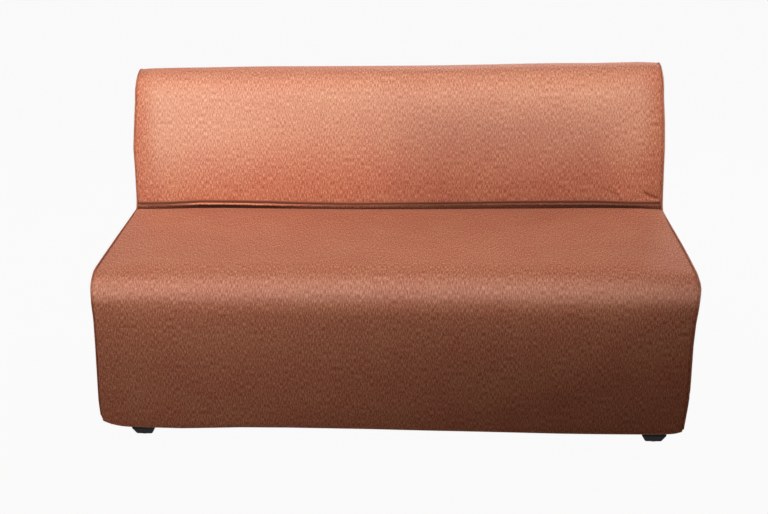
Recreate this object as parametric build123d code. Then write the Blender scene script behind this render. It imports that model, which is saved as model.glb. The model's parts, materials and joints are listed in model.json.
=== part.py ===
from build123d import *
import os
from math import atan2, hypot, pi, tan

# Armless two-seat unit of a modular sofa. The upholstered seat block and back are one L-shaped
# body: a timber frame, elastic webbing, foam, wadding and a stretched cloth cover with welted ends.
# It stands on four screw-in feet, and two link plates under its right end swing out to join the
# next unit. Millimetres, +X to the right seen from the front, -Y the front, +Z up.
# The origin is on the floor under the middle of the unit.

# Overall size
overall_width = 1400.0
overall_depth = 720.0
overall_height = 780.0
seat_height = 430.0
back_depth = 165.0
underside_height = 36.0

# Outline of the upholstery, seen from the side
front_radius = 72.0
hem_radius = 14.0
top_radius = 62.0
crease_radius = 25.0
tuck_radius = 8.0
crease_drop = 10.0
back_rake = 31.0
back_foot_rise = 26.0
back_foot_reach = 10.0
rear_seam_drop = 28.0

# How far the cover swells from its ends to its middle
front_crown = 5.0
seat_crown = 6.0
back_crown = 8.0
top_crown = 5.0
rear_crown = 5.0
side_crown = 10.0
side_shoulder = 6.0
side_shoulder_inset = 12.0
side_face_inset = 40.0
shoulder_place = 0.7
shoulder_crown = 0.8

# Layers of the upholstery
cloth = 2.0
layer_gap = 0.3
wadding = 10.0
side_padding = 12.0
front_padding = 24.0
rear_padding = 22.0
hem_turn = 42.0
welt_radius = 2.0
welt_gap = 0.1
band_radius = 7.5
tuck_gap = 8.0
dust_cloth = 1.0

# Timber frame
panel = 15.0
board = 3.0
rail = 22.0
deep_rail_height = 90.0
shallow_rail_height = 70.0
post = 44.0
brace_height = 45.0
strap_give = 15.0
block_height = 45.0
block_length = 80.0
block_width = 66.0
cushion_height = 105.0
back_post_depth = 50.0
back_rail_height = 50.0
back_rail = 25.0
tuck_rail_height = 22.0
tuck_rail_width = 25.0

# Elastic webbing and the felt over it
seat_strap_count = 10
cross_strap_count = 4
back_strap_count = 8
seat_strap_width = 60.0
back_strap_width = 50.0
strap_sheet = 1.6
strap_lap = 45.0
strap_grip = 20.0
felt = 8.0
felt_inset = 6.0
cleat = 22.0

# Screw-in feet
left_foot_inset = 98.0
right_foot_inset = 76.0
front_foot_shift = 11.0
foot_top = 58.0
foot_waist = 57.0
foot_sole = 40.0
foot_waist_height = 19.0
foot_corner = 4.0
foot_edge = 0.8
glide_height = 1.6
glide_radius = 17.5
spigot_radius = 5.0
spigot_height = 6.0
spigot_end_gap = 1.0
stud_radius = 4.0
foot_travel = 10.0
thread_grip = 8.0
stud_root = 12.0
running_gap = 0.05
foot_plate = 2.0
foot_plate_side = 50.0

# Threaded inserts with a flange
insert_barrel = 10.0
insert_radius = 5.0
insert_flange_radius = 11.0
insert_flange = 1.5
hole_gap = 0.5

# Link plates
link_inset = 69.0
link_block_gap = 27.0
link_block = 60.0
link_thickness = 3.0
link_width = 30.0
link_hole_radius = 4.5
washer = 0.9
washer_radius = 9.0
bolt_head_radius = 8.0
bolt_head = 5.0

# Wood screws through the end panels
screw_radius = 2.0
screw_length = 50.0
screw_head_radius = 4.0
screw_head = 3.0
screw_gap = 0.05

# Main planes, worked out from the sizes above
front_y = -overall_depth / 2
rear_y = overall_depth / 2
crease_y = rear_y - back_depth
crease_z = seat_height - crease_drop
deck_height = seat_height - cushion_height
rear_seam_height = overall_height - top_radius - rear_seam_drop
hem_z = underside_height + dust_cloth
frame_z = hem_z + cloth
cover_half = overall_width / 2 - side_crown - cloth
panel_out = cover_half - side_padding
panel_in = panel_out - panel
rail_front = front_y + front_padding
rail_front_in = rail_front + rail
frame_rear = rear_y - rear_padding - board
rear_rail_in = frame_rear - rail
back_post_front = frame_rear - back_post_depth
rail_top = deck_height - felt - 2 * strap_sheet
tuck_top = deck_height + tuck_rail_height
seat_tuck_y = crease_y
back_tuck_y = crease_y + tuck_gap
tuck_rail_front = seat_tuck_y - cloth
back_rail_z = rear_seam_height - back_rail_height
seat_rail_y = crease_y + cloth
block_top = frame_z + block_height
wadding_out = cloth + layer_gap
wadding_in = wadding_out + wadding
foam_out = wadding_in + layer_gap


def offset_corners(corners, depth, closed=False):
    """The corners of a path moved to its right by depth."""
    count = len(corners)
    spans = count if closed else count - 1
    lines = []
    for i in range(spans):
        (y0, z0), (y1, z1) = corners[i], corners[(i + 1) % count]
        length = hypot(y1 - y0, z1 - z0)
        along = ((y1 - y0) / length, (z1 - z0) / length)
        lines.append(((y0 + along[1] * depth, z0 - along[0] * depth), along))

    def meet(first, second):
        (py, pz), (ay, az) = first
        (qy, qz), (by, bz) = second
        share = ((qy - py) * bz - (qz - pz) * by) / (ay * bz - az * by)
        return (py + ay * share, pz + az * share)

    inner = [meet(lines[i - 1], lines[i]) for i in range(0 if closed else 1, spans)]
    if closed:
        return inner
    shift_y, shift_z = lines[-1][1][1] * depth, -lines[-1][1][0] * depth
    last = (corners[-1][0] + shift_y, corners[-1][1] + shift_z)
    return [lines[0][0], *inner, last]


def offset_radii(corners, radii, depth, closed=False):
    """Corner radii of a path moved to its right: tighter on right turns, wider on left turns."""
    least = 1.0
    count = len(corners)
    places = range(count) if closed else range(1, count - 1)
    moved = []
    for i, radius in zip(places, radii):
        before, here, after = corners[i - 1], corners[i], corners[(i + 1) % count]
        turn = (here[0] - before[0]) * (after[1] - here[1]) - (here[1] - before[1]) * (after[0] - here[0])
        moved.append(max(radius - depth if turn < 0 else radius + depth, least))
    return moved


def path_line(path, depth, closed=False):
    """A rounded line along a path of (corners, radii), moved inwards by depth."""
    corners, radii = path
    moved = offset_corners(corners, depth, closed)
    return FilletPolyline(*moved, radius=offset_radii(corners, radii, depth, closed), close=closed)


def strip_face(path, start, stop):
    """The band between two depths under a path, as a face."""
    outer = path_line(path, start)
    inner = path_line(path, stop)
    ends = [Line(outer @ 0, inner @ 0), Line(outer @ 1, inner @ 1)]
    return make_face([*outer.edges(), *inner.edges(), *[edge for end in ends for edge in end.edges()]])


def filled_face(path, depth, closing):
    """The area between a path, moved inwards by depth, and the corners that close it."""
    curve = path_line(path, depth)
    rest = Polyline(curve @ 1, *closing, curve @ 0)
    return make_face([*curve.edges(), *rest.edges()])


def at_x(face, x):
    """A face drawn in (Y, Z), stood in the plane X = x."""
    return Plane(origin=(x, 0, 0), x_dir=(0, 1, 0), z_dir=(1, 0, 0)) * face


def crowned(section, half_length):
    """A solid along X through sections that swell towards the middle. section(share) gives a face."""
    shoulder = shoulder_place * half_length
    stations = [(-half_length, 0.0), (-shoulder, shoulder_crown), (0.0, 1.0)]
    stations += [(shoulder, shoulder_crown), (half_length, 0.0)]
    return loft([at_x(section(share), x) for x, share in stations])


def along_x(face, start, stop):
    """A face drawn in (Y, Z), run along X from start to stop."""
    return extrude(at_x(face, start), amount=stop - start, dir=(1, 0, 0))


def block(x, y, z):
    """A box from three (low, high) pairs."""
    size = [high - low for low, high in (x, y, z)]
    middle = [(high + low) / 2 for low, high in (x, y, z)]
    return Pos(*middle) * Box(*size)


def rod(x, y, low, high, radius):
    """An upright cylinder at (x, y)."""
    return Pos(x, y, (low + high) / 2) * Cylinder(radius, high - low)


def mirrored(solid):
    """The same piece at the other end of the unit."""
    return mirror(solid, about=Plane.YZ)


# Lines of the cover at a share of its crown: 0 at the ends, 1 in the middle


def front_line(share):
    return front_y + (1 - share) * front_crown


def seat_line(share):
    return seat_height - (1 - share) * seat_crown


def top_line(share):
    return overall_height - (1 - share) * top_crown


def rear_line(share):
    return rear_y - (1 - share) * rear_crown


def back_face(z, share):
    """Y of the front of the back at height z."""
    recess = (1 - share) * back_crown
    foot = crease_y + recess / 2
    top = crease_y + back_rake + recess
    return foot + (top - foot) * (z - crease_z) / (overall_height - crease_z)


def roll_radius():
    """Radius of the roll on top of the back, limited by the thickness of the back."""
    top = top_line(0)
    thickness = rear_line(0) - back_face(top, 0) - layer_gap
    lean = atan2(back_face(top, 0) - back_face(crease_z, 0), top - crease_z)
    return min(top_radius, thickness / (1 + tan(pi / 4 - lean / 2)))


def seat_path(share):
    """Cover of the front and seat: from its turned-in hem to its tuck in the crease."""
    front, top = front_line(share), seat_line(share)
    corners = [
        (front_y + hem_turn, hem_z),
        (front, hem_z),
        (front, top),
        (seat_tuck_y, crease_z),
        (seat_tuck_y, tuck_top),
    ]
    return corners, [hem_radius, front_radius, tuck_radius]


def seat_pad_path(share, low):
    """The same line without its hem and tuck, from the height low to just before the tuck."""
    front, top = front_line(share), seat_line(share)
    stop = seat_tuck_y - tuck_radius - layer_gap
    fall = (top - crease_z) * (stop - front) / (seat_tuck_y - front)
    return [(front, low), (front, top), (stop, top - fall)], [front_radius]


def back_path(share):
    """Cover of the back: from its tuck in the crease, over the top, to the rear seam."""
    recess_z = crease_z + back_foot_rise - back_foot_reach
    foot_z = crease_z + back_foot_rise
    top = top_line(share)
    corners = [
        (back_tuck_y, tuck_top),
        (back_tuck_y, recess_z),
        (back_face(foot_z, share), foot_z),
        (back_face(top, share), top),
        (rear_line(share), top),
        (rear_line(share), rear_seam_height),
    ]
    return corners, [tuck_radius / 2, tuck_radius, roll_radius(), roll_radius()]


def back_pad_path(share, low):
    """The same line without its tuck, from the height low to just above the rear seam."""
    top = top_line(share)
    corners = [
        (back_face(low, share), low),
        (back_face(top, share), top),
        (rear_line(share), top),
        (rear_line(share), rear_seam_height),
    ]
    return corners, [roll_radius(), roll_radius()]


def rear_path(share):
    """Cover of the outside back: from the rear seam to its turned-in hem."""
    corners = [
        (rear_line(share), rear_seam_height - layer_gap),
        (rear_line(share), hem_z),
        (rear_y - hem_turn, hem_z),
    ]
    return corners, [hem_radius]


def end_path():
    """Closed outline of the ends of the unit."""
    top = top_line(0)
    corners = [
        (front_line(0), hem_z),
        (front_line(0), seat_line(0)),
        (back_face(crease_z, 0), crease_z),
        (back_face(top, 0), top),
        (rear_line(0), top),
        (rear_line(0), hem_z),
    ]
    roll = roll_radius()
    return corners, [hem_radius, front_radius, crease_radius, roll, roll, hem_radius]


def end_face(inset):
    """The end outline moved inwards, filled."""
    return make_face(path_line(end_path(), inset, closed=True).edges())


# Cloth covers and padding


def seat_cover():
    return crowned(lambda share: strip_face(seat_path(share), 0, cloth), cover_half)


def back_cover():
    return crowned(lambda share: strip_face(back_path(share), 0, cloth), cover_half)


def outside_back_cover():
    return crowned(lambda share: strip_face(rear_path(share), 0, cloth), cover_half)


def side_dome(base_x, rim):
    """A padded end seen from the side: the end outline, swelling outwards in two steps."""
    steps = [(0, rim), (side_shoulder, rim + side_shoulder_inset), (side_crown, rim + side_face_inset)]
    faces = [at_x(end_face(inset), base_x + rise) for rise, inset in steps]
    return loft(faces, ruled=True)


def side_cover():
    """Right-hand end cover: a shell of cloth with the shape of the padding under it."""
    flat = along_x(end_face(0), cover_half, cover_half + cloth)
    outside = flat + side_dome(cover_half + cloth, 0)
    inner_rim = cloth / 2
    return outside - side_dome(cover_half, inner_rim)


def side_pad():
    """Right-hand end padding, cut out where the cloth is tucked into the crease."""
    rim = cloth + 2 * layer_gap
    face_x = cover_half - layer_gap
    flat = along_x(end_face(rim), panel_out, face_x)
    pad = flat + side_dome(face_x, rim)
    recess_top = crease_z + back_foot_rise + tuck_radius
    slot_x = (panel_out - layer_gap, cover_half + layer_gap)
    slot_y = (seat_tuck_y - cloth - layer_gap, back_tuck_y + cloth + layer_gap)
    hollow_y = (seat_tuck_y - crease_radius, back_tuck_y)
    slot = block(slot_x, slot_y, (deck_height, recess_top))
    hollow_z = (crease_z - tuck_radius - cloth - layer_gap, recess_top)
    hollow = block(slot_x, hollow_y, hollow_z)
    return pad - slot - hollow


def seat_wadding():
    low = hem_z + hem_radius + cloth
    return crowned(lambda share: strip_face(seat_pad_path(share, low), wadding_out, wadding_in), panel_out)


def back_wadding():
    low = crease_z + back_foot_rise + 2 * tuck_radius
    return crowned(lambda share: strip_face(back_pad_path(share, low), wadding_out, wadding_in), panel_out)


def seat_foam():
    def section(share):
        front, top = front_line(share), seat_line(share)
        rear = seat_tuck_y - cloth - layer_gap
        fall = (top - crease_z) * (rear - front) / (seat_tuck_y - front)
        path = [(front, deck_height), (front, top), (rear, top - fall)], [front_radius]
        return filled_face(path, foam_out, [(rear, deck_height)])

    return crowned(section, panel_out)


def front_foam():
    board_front = rail_front - board
    low, top = hem_z + hem_radius, deck_height

    def section(share):
        front = front_line(share) + foam_out
        corners = [(front, low), (front, top), (board_front, top), (board_front, low)]
        return make_face(Polyline(*corners, close=True))

    return crowned(section, panel_out)


def back_foam():
    low = crease_z + back_foot_rise
    tuck = back_tuck_y + cloth + layer_gap
    rear = back_post_front - strap_sheet - layer_gap
    closing = [(rear, rear_seam_height), (rear, tuck_top), (tuck, tuck_top), (tuck, low - back_foot_reach)]

    def section(share):
        return filled_face(back_pad_path(share, low), foam_out, closing)

    return crowned(section, panel_out)


def rear_pad():
    board_rear = frame_rear + board

    def section(share):
        rear = rear_line(share) - wadding_out
        top = rear_seam_height - layer_gap
        low = hem_z + hem_radius
        corners = [(board_rear, low), (board_rear, top), (rear, top), (rear, low)]
        return make_face(Polyline(*corners, close=True))

    return crowned(section, panel_out)


def crease_band():
    """Narrow padded band that closes the crease, with a flange down to the tuck rail."""
    centre_y = seat_tuck_y - cloth / 4
    centre_z = crease_z + band_radius + 2 * layer_gap
    flange_y = (seat_tuck_y + back_tuck_y - cloth) / 2
    roll = Pos(centre_y, centre_z) * Circle(band_radius)
    far_y = flange_y + cloth
    flange = Polyline(
        (flange_y, tuck_top), (flange_y, centre_z), (far_y, centre_z), (far_y, tuck_top), close=True
    )
    half = panel_out - layer_gap
    return along_x(roll + make_face(flange), -half, half)


def welt():
    """Right-hand welt: a thin cord of cloth round the edge of the end cover."""
    corners, radii = end_path()
    (front, _), (rear, _) = corners[0], corners[-1]
    ends_z = hem_z + hem_radius
    open_path = [(front, ends_z), *corners[1:-1], (rear, ends_z)], radii[1:-1]
    line = at_x(path_line(open_path, -(welt_radius + welt_gap)), cover_half + cloth / 2)
    start = Plane(origin=line @ 0, z_dir=line % 0)
    return sweep(start * Circle(welt_radius), path=line)


# Timber frame


def end_panel():
    """Right-hand end panel of plywood: seat side and back post in one piece."""
    corners = [
        (rail_front, frame_z),
        (rail_front, deck_height),
        (back_post_front, deck_height),
        (back_post_front, rear_seam_height),
        (frame_rear, rear_seam_height),
        (frame_rear, frame_z),
    ]
    return along_x(make_face(Polyline(*corners, close=True)), panel_in, panel_out)


def cross_rail(y, z, half=panel_in):
    """A rail along X between the end panels."""
    return block((-half, half), y, z)


def rails():
    """Every rail, post, board and block of the frame, by name."""
    deep = (frame_z, frame_z + deep_rail_height)
    shallow = (rail_top - shallow_rail_height, rail_top)
    front = (rail_front, rail_front_in)
    seat_rail = (seat_rail_y, seat_rail_y + rail)
    back_lower = (back_post_front, back_post_front + back_rail)
    half_post, half_rail = post / 2, rail / 2
    brace_top = rail_top - strap_give
    return {
        "front_bottom_rail": cross_rail(front, deep),
        "front_top_rail": cross_rail(front, shallow),
        "rear_bottom_rail": cross_rail((rear_rail_in, frame_rear), deep),
        "seat_rear_rail": cross_rail(seat_rail, shallow),
        "tuck_rail": cross_rail(
            (tuck_rail_front, tuck_rail_front + tuck_rail_width), (deck_height, tuck_top), panel_out
        ),
        "back_lower_rail": cross_rail(back_lower, (tuck_top, tuck_top + back_rail_height)),
        "back_top_rail": cross_rail((back_post_front, frame_rear), (back_rail_z, rear_seam_height)),
        "front_centre_post": block((-half_post, half_post), front, (deep[1], shallow[0])),
        "seat_rail_post": block((-half_rail, half_rail), seat_rail, (deep[1], shallow[0])),
        "back_centre_post": block(
            (-half_post, half_post), (back_lower[1], frame_rear), (deep[1], back_rail_z)
        ),
        "base_centre_stretcher": block((-half_rail, half_rail), (rail_front_in, rear_rail_in), deep),
        "seat_centre_brace": block(
            (-half_rail, half_rail), (rail_front_in, seat_rail_y), (brace_top - brace_height, brace_top)
        ),
        "front_board": cross_rail((rail_front - board, rail_front), (frame_z, deck_height), panel_out),
        "outside_back_board": cross_rail(
            (frame_rear, frame_rear + board), (frame_z, rear_seam_height), panel_out
        ),
    }


# Feet, threaded inserts and link hardware


left_foot_x = left_foot_inset - overall_width / 2
right_foot_x = overall_width / 2 - right_foot_inset
front_block_y = rail_front_in + block_width / 2
front_foot_y = front_block_y - front_foot_shift
rear_foot_y = rear_rail_in - block_width / 2
feet = {
    "front_left": (left_foot_x, front_foot_y),
    "front_right": (right_foot_x, front_foot_y),
    "rear_left": (left_foot_x, rear_foot_y),
    "rear_right": (right_foot_x, rear_foot_y),
}
link_x = overall_width / 2 - link_inset
link_place = rear_foot_y - block_width / 2 - link_block_gap - link_block / 2
link_points = [(x, y) for x in (-link_x, link_x) for y in (-link_place, link_place)]
pivot_points = {"front": (link_x, -link_place), "rear": (link_x, link_place)}
link_spacing = 2 * link_inset
insert_hole = insert_radius + running_gap


def foot_block(x, y):
    """Corner block behind a foot, against the end panel."""
    span = (panel_in - block_length, panel_in) if x > 0 else (-panel_in, -panel_in + block_length)
    middle = front_block_y if y < 0 else rear_foot_y
    solid = block(span, (middle - block_width / 2, middle + block_width / 2), (frame_z, block_top))
    return solid - rod(x, y, frame_z, block_top, insert_hole)


def link_block_at(x, y):
    """Block over a link bolt, against the end panel."""
    span = (panel_in - link_block, panel_in) if x > 0 else (-panel_in, -panel_in + link_block)
    solid = block(span, (y - link_block / 2, y + link_block / 2), (frame_z, block_top))
    return solid - rod(x, y, frame_z, block_top, insert_hole)


def threaded_insert(x, y):
    """Flanged insert in the top of a block; its thread is a plain bore."""
    flange_top = block_top + insert_flange
    solid = rod(x, y, block_top - insert_barrel, block_top, insert_radius)
    solid += rod(x, y, block_top, flange_top, insert_flange_radius)
    return solid - rod(x, y, block_top - insert_barrel, flange_top, stud_radius + running_gap)


def foot_plate_at(x, y):
    """Square steel plate that spreads a foot's load into its block."""
    half = foot_plate_side / 2
    solid = block((x - half, x + half), (y - half, y + half), (frame_z - foot_plate, frame_z))
    return solid - rod(x, y, frame_z - foot_plate, frame_z, stud_radius + hole_gap)


def foot_at(x, y):
    """Square tapered moulded foot, hollow for its stud and for the spigot of its glide."""
    levels = [
        (glide_height, foot_sole - 2 * foot_edge),
        (glide_height + foot_edge, foot_sole),
        (foot_waist_height, foot_waist),
        (underside_height, foot_top),
    ]
    faces = [Pos(0, 0, z) * RectangleRounded(side, side, foot_corner) for z, side in levels]
    solid = loft(faces, ruled=True)
    recess_top = glide_height + spigot_height + spigot_end_gap
    solid -= rod(0, 0, glide_height, recess_top, spigot_radius + running_gap)
    solid -= rod(0, 0, stud_root, underside_height, stud_radius + running_gap)
    return Pos(x, y, 0) * solid


def stud_at(x, y):
    """Threaded stud, long enough to hold in its insert with the foot screwed out."""
    return rod(x, y, stud_root, block_top - insert_barrel + thread_grip + foot_travel, stud_radius)


def glide_at(x, y):
    """Nylon disc on the sole, on which the foot turns."""
    disc = rod(x, y, 0, glide_height, glide_radius)
    return disc + rod(x, y, glide_height, glide_height + spigot_height, spigot_radius)


link_top = underside_height - washer
link_low = link_top - link_thickness


def link_plate(x, y, towards):
    """Flat link stowed along Y: a pivot hole, and a hole for the next unit's bolt."""
    far_y = y + towards * link_spacing
    middle_y = (y + far_y) / 2
    outline = Pos(x, middle_y) * SlotCenterToCenter(link_spacing, link_width, rotation=90)
    solid = extrude(Pos(0, 0, link_low) * outline, amount=link_thickness)
    solid -= rod(x, y, link_low, link_top, stud_radius + running_gap)
    return solid - rod(x, far_y, link_low, link_top, link_hole_radius)


def pivot_bolt(x, y):
    head_top = link_low - running_gap
    head = Pos(x, y, head_top - bolt_head) * extrude(RegularPolygon(bolt_head_radius, 6), amount=bolt_head)
    return head + rod(x, y, head_top, block_top + insert_flange, stud_radius)


def link_washer(x, y):
    return rod(x, y, link_top, underside_height, washer_radius) - rod(
        x, y, link_top, underside_height, stud_radius + hole_gap
    )


def dust_cover():
    """Black cloth under the frame, with holes for the studs and link bolts."""
    sheet = block((-cover_half, cover_half), (rail_front, frame_rear), (underside_height, hem_z))
    for x, y in [*feet.values(), *link_points]:
        sheet -= rod(x, y, underside_height, hem_z, insert_hole + hole_gap)
    return sheet


# Elastic webbing


def spread(count, half):
    """Middles of equal shares of a span from -half to half."""
    pitch = 2 * half / count
    return [(i + 0.5) * pitch - half for i in range(count)]


def seat_straps():
    """Straps from the front rail to the seat rail."""
    half = seat_strap_width / 2
    y = (rail_front_in - strap_grip, seat_rail_y + strap_grip)
    z = (rail_top, rail_top + strap_sheet)
    return [block((x - half, x + half), y, z) for x in spread(seat_strap_count, panel_in - cleat)]


def cross_straps():
    """Straps from end to end, lying on the others."""
    half = seat_strap_width / 2
    middle, reach = (rail_front_in + seat_rail_y) / 2, (seat_rail_y - rail_front_in) / 2
    z = (rail_top + strap_sheet, rail_top + 2 * strap_sheet)
    places = [middle + y for y in spread(cross_strap_count, reach)]
    return [block((-panel_in, panel_in), (y - half, y + half), z) for y in places]


def seat_cleats():
    """Strips on the end panels that the cross straps are fixed to."""
    y = (rail_front_in, seat_rail_y)
    top = rail_top + strap_sheet
    right = block((panel_in - cleat, panel_in), y, (top - cleat, top))
    return [right, mirrored(right)]


def seat_felt():
    """Felt between the webbing and the foam."""
    half = panel_in - felt_inset
    return block((-half, half), (rail_front, seat_tuck_y - felt_inset), (deck_height - felt, deck_height))


def back_straps():
    """Upright straps across the opening of the back."""
    half = back_strap_width / 2
    y = (back_post_front - strap_sheet, back_post_front)
    z = (tuck_top + back_rail_height - strap_lap, back_rail_z + strap_lap)
    return [block((x - half, x + half), y, z) for x in spread(back_strap_count, panel_in)]


# Wood screws


def screw_points():
    """Height and depth of the screws through each end panel, two to a rail."""
    third = shallow_rail_height / 3
    middle = rail / 2
    rows = []
    for y in (rail_front + middle, frame_rear - middle):
        rows += [(y, frame_z + deep_rail_height / 4), (y, frame_z + deep_rail_height * 3 / 4)]
    for y in (rail_front + middle, seat_rail_y + middle):
        rows += [(y, rail_top - third), (y, rail_top - 2 * third)]
    top_z = rear_seam_height - back_rail_height / 2
    rows += [(back_post_front + back_post_depth / 4, top_z), (frame_rear - back_post_depth / 4, top_z)]
    rows.append((back_post_front + back_rail / 2, tuck_top + back_rail_height / 2))
    return rows


def screw(y, z, slack=0.0):
    """Countersunk wood screw into the right-hand end, or with slack the hole that it needs."""
    shank = Rot(0, 90, 0) * Cylinder(screw_radius + slack, screw_length)
    cone = Rot(0, 90, 0) * Cone(screw_radius + slack, screw_head_radius + slack, screw_head)
    solid = Pos(panel_out - screw_length / 2, y, z) * shank + Pos(panel_out - screw_head / 2, y, z) * cone
    return solid


def drilled(solid, holes):
    for hole in holes:
        solid = solid - hole
    return solid


def build():
    """Every node of the unit, by name: one solid, or a list of like solids."""
    right_holes = [screw(y, z, screw_gap) for y, z in screw_points()]
    all_holes = right_holes + [mirrored(hole) for hole in right_holes]
    right_screws = [screw(y, z) for y, z in screw_points()]
    right_panel = drilled(end_panel(), right_holes)
    frame = rails()
    screwed = ["front_bottom_rail", "front_top_rail", "rear_bottom_rail"]
    screwed += ["seat_rear_rail", "back_lower_rail", "back_top_rail"]
    for name in screwed:
        frame[name] = drilled(frame[name], all_holes)
    right_cover, right_pad, right_welt = side_cover(), side_pad(), welt()
    nodes = {
        **frame,
        "right_end_panel": right_panel,
        "left_end_panel": mirrored(right_panel),
        "foot_blocks": [foot_block(*place) for place in feet.values()],
        "link_blocks": [link_block_at(*place) for place in link_points],
        "frame_screws": right_screws + [mirrored(one) for one in right_screws],
        "seat_cleats": seat_cleats(),
        "seat_straps": seat_straps(),
        "cross_straps": cross_straps(),
        "back_straps": back_straps(),
        "seat_felt": seat_felt(),
        "seat_foam": seat_foam(),
        "front_foam": front_foam(),
        "back_foam": back_foam(),
        "rear_pad": rear_pad(),
        "right_side_pad": right_pad,
        "left_side_pad": mirrored(right_pad),
        "seat_wadding": seat_wadding(),
        "back_wadding": back_wadding(),
        "seat_cover": seat_cover(),
        "back_cover": back_cover(),
        "outside_back_cover": outside_back_cover(),
        "right_side_cover": right_cover,
        "left_side_cover": mirrored(right_cover),
        "crease_band": crease_band(),
        "right_welt": right_welt,
        "left_welt": mirrored(right_welt),
        "dust_cover": dust_cover(),
        "foot_plates": [foot_plate_at(*place) for place in feet.values()],
        "threaded_inserts": [threaded_insert(*place) for place in [*feet.values(), *link_points]],
        "link_pivot_bolts": [pivot_bolt(*place) for place in pivot_points.values()],
        "link_washers": [link_washer(*place) for place in pivot_points.values()],
        "link_plate_front": link_plate(*pivot_points["front"], 1),
        "link_plate_rear": link_plate(*pivot_points["rear"], -1),
    }
    for name, place in feet.items():
        nodes[f"foot_{name}"] = foot_at(*place)
        nodes[f"stud_{name}"] = stud_at(*place)
        nodes[f"glide_{name}"] = glide_at(*place)
    return nodes


def main():
    os.makedirs("parts", exist_ok=True)
    for name, piece in build().items():
        shape = Compound(children=list(piece)) if isinstance(piece, list) else piece
        export_step(shape, os.path.join("parts", name + ".step"))
        print(name, round(shape.volume))


main()
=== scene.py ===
# %% [markdown]
# # A modular sofa unit in salmon cloth
# The imported CAD model comes in first and stays where it is. It holds the timber frame, the webbing,
# the foam, the feet and the link plates. Here the unit gets what an upholsterer adds last: the cloth.

# %% Load the frame
import json
from math import pi, radians

import bpy
import numpy as np
from mathutils import Matrix, Vector, geometry, noise


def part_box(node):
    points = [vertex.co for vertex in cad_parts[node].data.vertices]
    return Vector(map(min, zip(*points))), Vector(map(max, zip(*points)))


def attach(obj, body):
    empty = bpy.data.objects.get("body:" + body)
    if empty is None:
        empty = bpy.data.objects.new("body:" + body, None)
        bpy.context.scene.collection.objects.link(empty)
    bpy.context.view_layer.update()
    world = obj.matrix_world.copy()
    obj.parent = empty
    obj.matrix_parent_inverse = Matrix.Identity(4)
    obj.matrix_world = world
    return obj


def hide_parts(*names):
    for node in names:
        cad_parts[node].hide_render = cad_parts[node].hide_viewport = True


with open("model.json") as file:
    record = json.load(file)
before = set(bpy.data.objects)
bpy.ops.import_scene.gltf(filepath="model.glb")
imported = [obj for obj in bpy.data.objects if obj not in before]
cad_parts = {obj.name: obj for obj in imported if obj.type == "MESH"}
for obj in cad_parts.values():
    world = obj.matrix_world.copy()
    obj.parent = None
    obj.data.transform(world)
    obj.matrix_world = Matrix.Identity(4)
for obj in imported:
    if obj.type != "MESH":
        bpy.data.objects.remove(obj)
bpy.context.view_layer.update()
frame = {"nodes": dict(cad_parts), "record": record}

nodes = frame["nodes"]

# %% [markdown]
# ## The camera
# The photograph was taken from the front, a little above the seat, with a moderately long lens. Its place
# was found by fitting the outer corners of the seat and back to the picture. The right end comes out a
# little larger than the left one, so the lens pointed left of the middle, and a small shift stands for that.
# A camera could be aimed with a Track To constraint, but its small roll is easier to keep as plain turns.

# %% Camera
image_width = 768
focal_pixels = 1392.3
centre_off = (65.2, -11.7)
eye = Vector((0.1035, -3.3301, 1.5526))
swing, dip, roll = radians(5.028), radians(19.296), radians(-1.416)

bpy.ops.object.select_all(action="DESELECT")
bpy.ops.object.camera_add(location=eye)
camera = bpy.context.object
camera.data.sensor_width = 36
camera.data.lens = focal_pixels * camera.data.sensor_width / image_width
camera.data.shift_x, camera.data.shift_y = (off / image_width for off in centre_off)
aim = Matrix.Rotation(swing, 4, "Z") @ Matrix.Rotation(pi / 2 - dip, 4, "X") @ Matrix.Rotation(roll, 4, "Z")
camera.matrix_world = Matrix.Translation(eye) @ aim
bpy.context.scene.camera = camera
bpy.context.scene.view_settings.view_transform = "Standard"
print("lens mm:", round(camera.data.lens, 2))

# %% [markdown]
# ## Lines that the cloth follows
# Seen from the side, each cover follows a line with rounded corners: up the front, over the rounded
# edge, along the seat and down into the crease. A line could be a curve object, but here it has to answer
# one question, where is the cloth after so many metres, so a small class that measures itself is simpler.

# %% A rounded line, measured along its length
class Line:
    """A line in the side view, with rounded corners. It runs with the stuffing on its right."""

    def __init__(self, corners, radii):
        corners = np.array(corners, float)
        points, self.bends = [corners[0]], []
        for before, here, after, radius in zip(corners, corners[1:], corners[2:], radii):
            back = (before - here) / np.linalg.norm(before - here)
            on = (after - here) / np.linalg.norm(after - here)
            half = np.arccos(np.clip(back @ on, -1, 1)) / 2
            centre = here + (back + on) / np.linalg.norm(back + on) * radius / np.sin(half)
            spoke = here + back * radius / np.tan(half) - centre
            sweep = (pi - 2 * half) * np.sign(back[1] * on[0] - back[0] * on[1])
            first = len(points)
            for angle in np.linspace(0, sweep, 17):
                c, s = np.cos(angle), np.sin(angle)
                points.append(centre + (c * spoke[0] - s * spoke[1], s * spoke[0] + c * spoke[1]))
            self.bends.append((first, len(points) - 1))
        self.points = np.array(points + [corners[-1]])
        steps = np.linalg.norm(np.diff(self.points, axis=0), axis=1)
        self.run = np.concatenate([[0], np.cumsum(steps)])
        self.length = self.run[-1]

    def bend(self, index):
        """Where a corner starts and ends, in metres along the line."""
        first, last = self.bends[index]
        return self.run[first], self.run[last]

    def at(self, s):
        return np.interp(s, self.run, self.points[:, 0]), np.interp(s, self.run, self.points[:, 1])

    def outward(self, s):
        y0, z0 = self.at(s - 0.002)
        y1, z1 = self.at(s + 0.002)
        size = np.hypot(y1 - y0, z1 - z0)
        return (z0 - z1) / size, (y1 - y0) / size

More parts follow.
